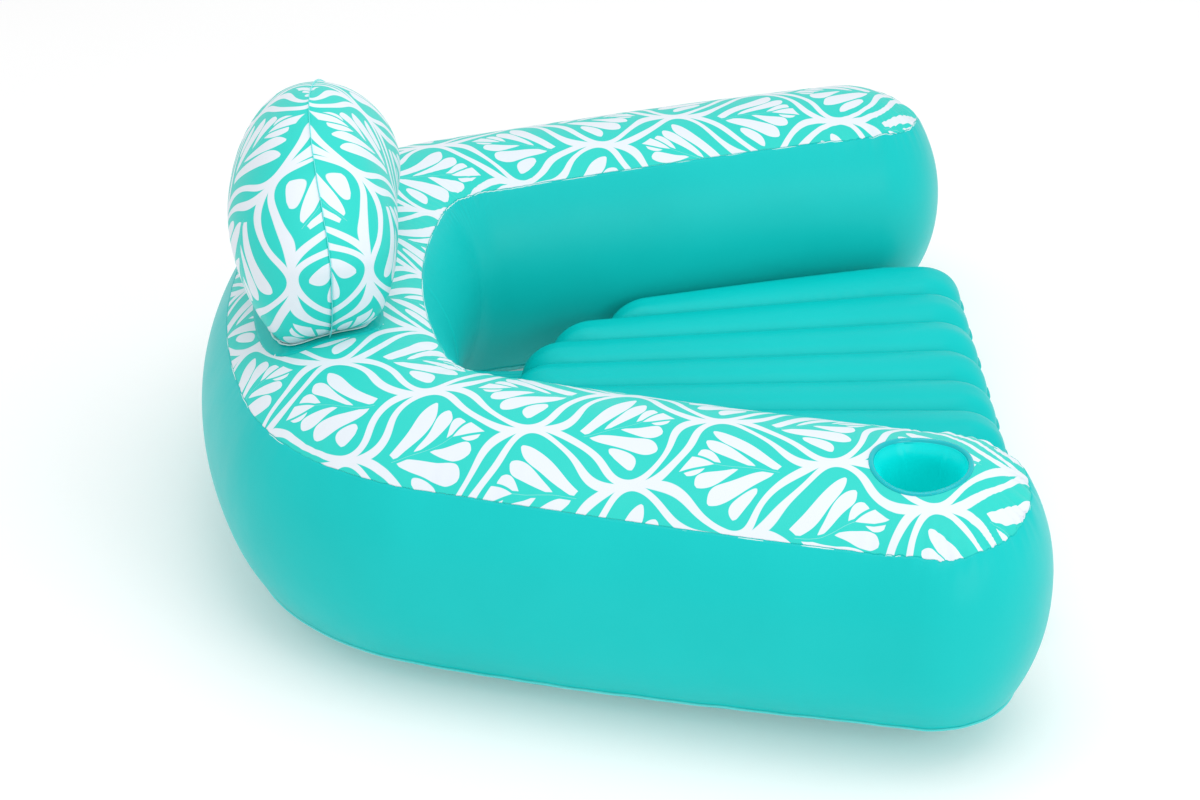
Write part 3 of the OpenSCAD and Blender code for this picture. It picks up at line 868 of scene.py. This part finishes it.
def ridge_bead():
    """The welded ridge, up one end of the headrest, over its top and down the other end."""
    pts, _ = head_half(True)
    path = np.concatenate([pts[:, -1], pts[::-1, 0]])
    mid = np.array([0, BACK_Y + HEAD_BACK, HEAD_MID_Z - 0.02])
    d = path - mid
    tangent = np.gradient(path, axis=0)
    tangent /= np.linalg.norm(tangent, axis=1)[:, None]
    side = np.cross(tangent, d)
    side /= np.linalg.norm(side, axis=1)[:, None]
    out = np.cross(side, tangent)
    keep_rows = np.concatenate([[True], np.linalg.norm(np.diff(path, axis=0), axis=1) > 1e-4])
    return bead("headrest_ridge_edge", path[keep_rows], out[keep_rows], side[keep_rows], *RIDGE_BEAD)


keep(ridge_bead(), BODY, SEAM_TEAL, ["headrest_ridge_seam"])


def squircle(rows, cols, p):
    """Unit disc whose outline is a rounded rectangle, as rings by spokes."""
    t = np.linspace(0, 2 * math.pi, cols)
    c, s = np.cos(t), np.sin(t)
    edge = 1 / np.power(np.abs(c) ** p + np.abs(s) ** p, 1 / p)
    rr = np.linspace(0, 1, rows)[:, None]
    return rr * (edge * c)[None, :], rr * (edge * s)[None, :]


def head_patch():
    """The plain patch that the headrest is welded to, laid on the ring's dome."""
    a, b = squircle(30, 161, 5.0)
    n = b * PATCH_W
    xy = head_place(a * PATCH_L, n)
    # corner puckers where the flat patch takes up the dome's curve
    rim = np.exp(-((1 - np.hypot(a, b)).clip(0)) / 0.2)
    corner = np.exp(-((np.abs(a) - 0.95) / 0.12) ** 2) * np.exp(-((np.abs(b) - 0.95) / 0.3) ** 2)
    wrinkle = 0.0010 * rim * corner * np.sin(60 * np.arctan2(b, a))
    z = dome_z(n + HEAD_BACK) + PATCH_RISE + wrinkle
    return np.concatenate([xy, z[..., None]], -1)


patch = sheet_mesh("headrest_patch_skin", head_patch())
thicken(patch, PATCH_FILM)
keep(patch, BODY, PATCH, ["headrest_patch"])


def head_weld():
    """The clear weld line round the headrest's foot."""
    front, _ = head_half(False)
    rear, _ = head_half(True)
    ring = np.concatenate([front[0], rear[0][::-1][1:]])
    ctr = ring.mean(0)
    out = np.cross(tangents(ring), [0, 0, 1.0])
    flip = np.sign(((ring - ctr) * out).sum(1))
    out *= flip[:, None]
    base_pt = ring + out * 0.0015
    base_pt[:, 2] = dome_z(back_offset(base_pt)) + FOOT_RISE + 0.0002
    up = np.tile([0, 0, 1.0], (len(ring), 1))
    return bead("headrest_weld_edge", base_pt, out, up, *FOOT_BEAD)


keep(head_weld(), BODY, SEAM, ["headrest_weld_line"])


# ---------------------------------------------------------------- seat

def inner_limit(y):
    """Half width of the well at seat height: the inner wall's bulge, for each y."""
    s = np.linspace(0, S_END, 1500)
    c, h, n = line(s)
    inner = c - n * (TOP_W + BULGE_IN * 0.93 - 0.002)
    order = np.argsort(inner[:, 1])
    return np.interp(y, inner[order, 1], inner[order, 0])


def back_cut(a):
    """How much shorter a tube is at the back, the farther it lies from the middle."""
    t = np.abs(a) / (4 * TUBE_STEP)
    return 0.070 * t ** 2 + 0.060 * t ** 4


def seat_surface(lower=False):
    """Upper or lower skin of the air mattress: columns across the tubes, rows from front to back."""
    e = np.linspace(-1, 1, SEAT_COLS + 1)
    e = np.sign(e) * (1 - (1 - np.abs(e)) ** 1.25)
    middle = (TUBES - 1) / 2
    cols = [i - middle + e[:-1] * 0.5 for i in range(TUBES)]
    a = np.concatenate(cols + [[middle + e[-1] * 0.5]])
    tube = np.round(np.clip(a, 0.01 - TUBES / 2, TUBES / 2 - 0.01))
    cap = np.linspace(0, math.pi / 2, SEAT_CAP_ROWS)
    run = np.linspace(0, 1, SEAT_RUN_ROWS + 2)[1:-1]
    kind = ["front"] * SEAT_CAP_ROWS + ["run"] * SEAT_RUN_ROWS + ["back"] * SEAT_CAP_ROWS
    val = np.concatenate([cap, run, cap[::-1]])
    front_d = FAN_Y - SEAT_FRONT_Y
    a_ang = a * TUBE_STEP
    half = (a - tube) * 2
    # each tube's ends are rounded in plan too
    scallop = SCALLOP * np.abs(half) ** 3.2
    front = front_d - scallop
    length = SEAT_L - back_cut(tube * TUBE_STEP)
    back = front_d - length + scallop * 0.8
    rows = []
    for k, v in zip(kind, val):
        if k == "front":
            dist = front - SEAT_END_R + SEAT_END_R * math.cos(v)
        elif k == "run":
            dist = (front - SEAT_END_R) * (1 - v) + (back + SEAT_END_R) * v
        else:
            dist = back + SEAT_END_R - SEAT_END_R * math.cos(v)
        up = 1.0 if k == "run" else math.sin(v) ** 0.9
        x = dist * np.tan(a_ang)
        y = FAN_Y - dist
        pitch = dist * math.tan(TUBE_STEP)
        off = np.clip(np.abs(half) * pitch / 2, 0, TUBE_R * 0.98)
        arch = np.sqrt(TUBE_R ** 2 - off ** 2) - (TUBE_R - SEAT_HALF_H)
        # a narrow sharp crease between two tubes
        from_valley = np.abs(1 - np.abs(half)) * pitch / 2
        crease = CREASE * np.exp(-from_valley / CREASE_W) * (np.abs(a) < TUBES / 2 - 0.05)
        ruck = 0.0011 * np.sin(dist * 300 + tube * 2.1 + 2 * np.sin(dist * 41 + tube)) * np.abs(half) ** 4
        ends = np.exp(-np.minimum(front - dist, dist - back) / 0.035)
        ruck = ruck + 0.0016 * np.sin(half * 9 + tube * 1.7) * ends
        past = np.clip(np.abs(a) - middle, 0, None) * 2
        side_end = np.sqrt(np.clip(1 - past ** 4, 0, 1))
        z = (arch - crease + ruck * up) * up * side_end
        # the outer tubes lean out to the ring's inner wall
        fit = (inner_limit(y) - SIDE_GAP) / (dist * math.tan(TUBES / 2 * TUBE_STEP))
        x = x * (1 + (fit - 1) * np.clip(np.abs(a) / (TUBES / 2), 0, 1) ** 3)
        rows.append(np.stack([x, y, SEAT_MID_Z + (-z if lower else z)], -1))
    return np.array(rows)


seat_valve = node_centre("seat_valve_stem")
seat_top = seat_surface()
seat_top = near_valve(seat_top, seat_valve + np.array([0, 0, VALVE_MID_DOWN]), np.array([0, 0, 1.0]), 0.03)
seat = sheet_mesh("seat_top_skin", seat_top)
thicken(seat)
keep(seat, BODY, SEAT, ["seat_top_sheet"])
under = sheet_mesh("seat_bottom_skin", seat_surface(True), flip=True)
thicken(under)
keep(under, BODY, SEAT, ["seat_bottom_sheet"])


def seat_edge():
    """The flat welded edge round the mattress."""
    g = seat_surface()
    ring = np.concatenate([g[0], g[1:, -1], g[-1, ::-1][1:], g[::-1, 0][1:]])
    ring[:, 2] = SEAT_MID_Z
    keep_rows = np.concatenate([[True], np.linalg.norm(np.diff(ring, axis=0), axis=1) > 5e-4])
    ring = ring[keep_rows]
    ring = np.concatenate([ring, ring[:1]])
    tangent = tangents(ring)
    for _ in range(3):
        tangent = (np.roll(tangent, 1, 0) + tangent + np.roll(tangent, -1, 0)) / 3
    tangent /= np.linalg.norm(tangent, axis=1)[:, None] + 1e-9
    out = np.cross(tangent, [0, 0, 1.0])
    up = np.tile([0, 0, 1.0], (len(ring), 1))
    return bead("seat_edge_strip", ring, out, up, *SEAT_BEAD)


keep(seat_edge(), BODY, SEAT, ["seat_edge_seam"])


def seat_strip(valley):
    """The upright strip inside one valley, from the lower skin to the upper one."""
    top = seat_surface()[3:-3, valley * SEAT_COLS]
    low = seat_surface(True)[3:-3, valley * SEAT_COLS]
    f = np.linspace(0.04, 0.96, 9)[:, None, None]
    pts = low * (1 - f) + top * f
    pts[..., 0] += 0.0015 * np.sin(math.pi * f[..., 0])
    return sheet_mesh("seat_strip_%d" % valley, pts)


for valley in range(1, TUBES):
    strip = seat_strip(valley)
    thicken(strip, STRIP_FILM)
    keep(strip, BODY, SEAT, ["seat_beams"])


def seat_tab(sign, name):
    """A short strap that ties the mattress's back corner to the ring."""
    lo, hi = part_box("seat_back_tabs")
    a = np.linspace(0, 1, 30)[:, None]
    w = np.linspace(-0.5, 0.5, 17)[None, :]
    y0 = lo[1] - TAB_IN_SEAT
    y1 = hi[1] + TAB_IN_WALL
    slack = np.sin(np.pi * a)
    x = sign * TAB_X + w * TAB_W * (1 - 0.22 * slack)
    y = np.broadcast_to(y0 + (y1 - y0) * a, x.shape)
    z = SEAT_MID_Z - TAB_SAG * slack + 0.0012 * np.cos(w * 18) * slack
    return sheet_mesh(name, np.stack([x, y, z], -1))


for sgn, nm in ((-1, "seat_back_tab_right"), (1, "seat_back_tab_left")):
    tab = seat_tab(sgn, nm)
    thicken(tab, TAB_FILM)
    keep(tab, BODY, SEAT, ["seat_back_tabs"])


# ---------------------------------------------------------------- cup holder

cup_c = Vector(CUP)
cup_z = cup_axis.normalized()
cup_x = Vector((1, 0, 0)) - cup_z * cup_z.x
cup_x.normalize()
cup_y = cup_z.cross(cup_x)
CUP_M = np.array([cup_x, cup_y, cup_z])


def top_height(x, y):
    """Height of the domed top under a point near the left arm's end."""
    ce, he, ne = line_end(-S_END)
    d = np.stack([x - ce[0], y - ce[1]], -1)
    u = d @ ne
    v = d @ he
    u = (u - TOP_RISE * math.sin(TOP_TILT)) / math.cos(TOP_TILT) * 0.995
    rho2 = u ** 2 + np.where(v > 0, (v / TIP_BLUNT) ** 2, 0)
    up = np.sqrt(np.clip(TOP_RADIUS ** 2 - rho2, 0, None)) - (TOP_RADIUS - TOP_RISE)
    return tilted(u, up)[1]


def cup_grid(r, depth, t):
    """Points at radius r and height depth along the cup's axis, for angles t."""
    loc = np.stack([r * np.cos(t), r * np.sin(t), depth], -1)
    return np.array(cup_c) + loc @ CUP_M


TURN = np.linspace(0, 2 * math.pi, 129)


def on_dome(r, rise):
    """A circle of radius r about the cup's axis, laid on the dome and raised by rise."""
    pts = cup_grid(r, np.zeros(len(TURN)), TURN)
    pts[:, 2] = top_height(pts[:, 0], pts[:, 1]) + rise
    return pts


def cup_rim():
    """A clear ring that lies on the dome round the mouth and turns down into the cup."""
    prof_r = CUP_RIM_R + np.array([-CUP_LIP, -0.0040, -0.0034, -0.0026, -0.0016, -0.0006,
                                   0.0002, 0.0004, 0.0])
    prof_h = np.array([-0.0040, -0.0016, 0.0004, 0.0016, 0.0021, 0.0019, 0.0014, 0.0008, 0.0003])
    return np.array([on_dome(r, rise) for r, rise in zip(prof_r, prof_h)])


rim = sheet_mesh("cup_rim_film", cup_rim(), flip=True)
thicken(rim, CUP_FILM)
keep(rim, BODY, RIM, ["cup_holder_rim"])

rim_out = np.stack([np.cos(TURN), np.sin(TURN), 0 * TURN], -1) @ CUP_M
rim_up = np.tile(np.array(cup_z), (len(TURN), 1))
rim_line = bead("cup_rim_outer_line", on_dome(CUP_RIM_R - 0.0002, 0.0020), rim_out, rim_up, *CUP_BEAD)
keep(rim_line, BODY, RIM_EDGE)


# upright creases in the cup's side: depth, place round the cup, and width
CUP_CREASES = ((0.0030, 0.35, 0.07), (0.0026, 5.55, 0.06), (0.0022, 2.5, 0.08),
               (0.0018, 3.9, 0.06), (0.0016, 1.5, 0.07))


def cup_wall():
    """The cup's soft side: a slightly slack tube with a few upright creases, rounded at the floor."""
    rows = []
    for f in np.linspace(0, 1, 60):
        depth = -CUP_DEPTH * f
        r = CUP_R - 0.0004 - 0.0030 * f + (CUP_RIM_R - 0.0035 - CUP_R) * math.exp(-(f / 0.13) ** 1.6)
        turn_in = np.clip((f - 0.93) / 0.07, 0, 1)
        r = r - 0.0035 * (1 - math.sqrt(max(0.0, 1 - turn_in ** 2)))
        crease = sum(depth_in * bump_at(np.angle(np.exp(1j * (TURN - at))), 0, width)
                     for depth_in, at, width in CUP_CREASES)
        soft = 0.0009 * np.sin(3 * TURN + 5 * f) + 0.0005 * np.sin(7 * TURN - 3 * f)
        gone = math.sin(math.pi * min(1.0, f * 1.1)) if f < 0.91 else 0.1
        rr = r - crease * gone * (0.6 + 0.4 * math.sin(4 * f + 1)) + soft * gone
        pt = cup_grid(rr, np.full(len(TURN), depth), TURN)
        top_pt = cup_grid(CUP_RIM_R - CUP_LIP, np.zeros(len(TURN)), TURN)
        lift = top_height(top_pt[:, 0], top_pt[:, 1]) - 0.001 - top_pt[:, 2]
        pt[:, 2] += lift * (1 - f) ** 3
        rows.append(pt)
    return np.array(rows)


sleeve = sheet_mesh("cup_side_film", cup_wall())
thicken(sleeve, CUP_FILM)
keep(sleeve, BODY, CUP_VINYL_PAINTED_GLOW, ["cup_holder_sleeve"])


def cup_floor():
    """The cup's bottom, slightly raised in the middle and wavy."""
    rr = np.linspace(0, CUP_R - 0.0068, 22)
    rows = []
    for r in rr:
        k = r / rr[-1]
        h = -CUP_DEPTH + 0.0022 * (1 - k ** 2) + 0.0006 * np.sin(5 * TURN + 2) * k * (1 - k) * 4
        rows.append(cup_grid(r, h, TURN))
    return np.array(rows)


floor_film = sheet_mesh("cup_floor_film", cup_floor(), flip=True)
thicken(floor_film, CUP_FILM)
keep(floor_film, BODY, CUP_VINYL_PAINTED_GLOW, ["cup_holder_base"])


# ---------------------------------------------------------------- valves

def carried(node, mat):
    """Gives a CAD node that is shown as it is its material."""
    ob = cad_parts[node]
    ob.data.materials.clear()
    ob.data.materials.append(mat)
    for poly in ob.data.polygons:
        poly.material_index = 0


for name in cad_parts:
    if "valve" in name and "strap" not in name:
        carried(name, VALVE)


def strap(which):
    """The thin strap that keeps a valve's cap on, bowed out between the flange and the cap."""
    stem = node_centre(which + "_valve_stem")
    plug = node_centre(which + "_valve_plug")
    out = (plug - stem) / np.linalg.norm(plug - stem)
    lo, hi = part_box(which + "_valve_strap")
    mid = (np.array(lo) + np.array(hi)) / 2
    side = mid - stem
    side -= out * (side @ out)
    side /= np.linalg.norm(side)
    cross = np.cross(out, side)
    base = stem + out * VALVE_MID_DOWN
    f = np.linspace(0, 1, 26)
    ang = f * math.pi
    reach = 0.0092 - 0.0036 * f + 0.0052 * np.sin(ang)
    height = 0.0022 + 0.0054 * f
    centre = base + side * reach[:, None] + out * height[:, None]
    tangent = np.gradient(centre, axis=0)
    tangent /= np.linalg.norm(tangent, axis=1)[:, None]
    normal = np.cross(tangent, cross)
    a = np.linspace(0, 2 * math.pi, 13)
    wide = 0.0019 * np.sign(np.cos(a)) * np.abs(np.cos(a)) ** 0.6
    thin = 0.0006 * np.sin(a)
    pts = centre[:, None] + cross * wide[None, :, None] + normal[:, None] * thin[None, :, None]
    ob = sheet_mesh(which + "_cap_strap", pts)
    ob.data.materials.append(VALVE)
    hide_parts(which + "_valve_strap")
    tuple(base + out * 0.0022)
    tuple(base + out * 0.0072)
    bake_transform(ob)


for which in ("ring", "headrest", "seat"):
    strap(which)


# ---------------------------------------------------------------- camera, floor and light

FLOOR_HALF = 14.0
FLOOR_DROP = 0.0006
CAM_AT = Vector((-3.9619, 0.1516, 2.0487))
CAM_TO = Vector((-0.3312, 0.0194, 0.284))
cam_data = bpy.data.cameras.new("camera")
cam_data.lens = 110.88
cam_data.sensor_width = 36
cam = bpy.data.objects.new("camera", cam_data)
bpy.context.scene.collection.objects.link(cam)
cam.location = CAM_AT
cam.rotation_mode = "QUATERNION"
cam.rotation_quaternion = (CAM_TO - CAM_AT).to_track_quat("-Z", "Y")
bpy.context.scene.camera = cam

floor_mesh = bpy.data.meshes.new("floor")
corners = ((-1, -1), (1, -1), (1, 1), (-1, 1))
floor_mesh.from_pydata([(x * FLOOR_HALF, y * FLOOR_HALF, 0) for x, y in corners], [], [(0, 1, 2, 3)])
floor = link(floor_mesh, "floor")
floor.location.z = -FLOOR_DROP
mat, shader, coord = start("floor_paper")
V.tree.links.new(mix((0.84, 0.84, 0.84), (0.86, 0.86, 0.86), noise(coord.outputs["Object"], 1.5)),
                 shader.inputs["Base Color"])
shader.inputs["Roughness"].default_value = 0.9
shader.inputs["Specular IOR Level"].default_value = 0.1
shader.inputs["Emission Color"].default_value = (1, 1, 1, 1)
shader.inputs["Emission Strength"].default_value = 0.20
floor.data.materials.append(mat)

world = bpy.data.worlds.new("studio")
world.use_nodes = True
world.node_tree.nodes["Background"].inputs[0].default_value = (1, 1, 1, 1)
world.node_tree.nodes["Background"].inputs[1].default_value = 0.78
bpy.context.scene.world = world


def softbox(name, at, to, size, power):
    """A rectangular area light at one point, turned toward another."""
    light = bpy.data.lights.new(name, "AREA")
    light.shape = "RECTANGLE"
    light.size, light.size_y = size
    light.energy = power
    ob = bpy.data.objects.new(name, light)
    bpy.context.scene.collection.objects.link(ob)
    ob.location = at
    ob.rotation_mode = "QUATERNION"
    ob.rotation_quaternion = (Vector(to) - Vector(at)).to_track_quat("-Z", "Y")


softbox("overhead", (-0.6, -0.4, 3.2), (0, 0, 0.1), (2.6, 2.6), 34)
softbox("near_side", (-3.0, -2.2, 1.6), (-0.4, 0, 0.1), (1.8, 1.2), 18)

bpy.context.scene.view_settings.view_transform = "Standard"
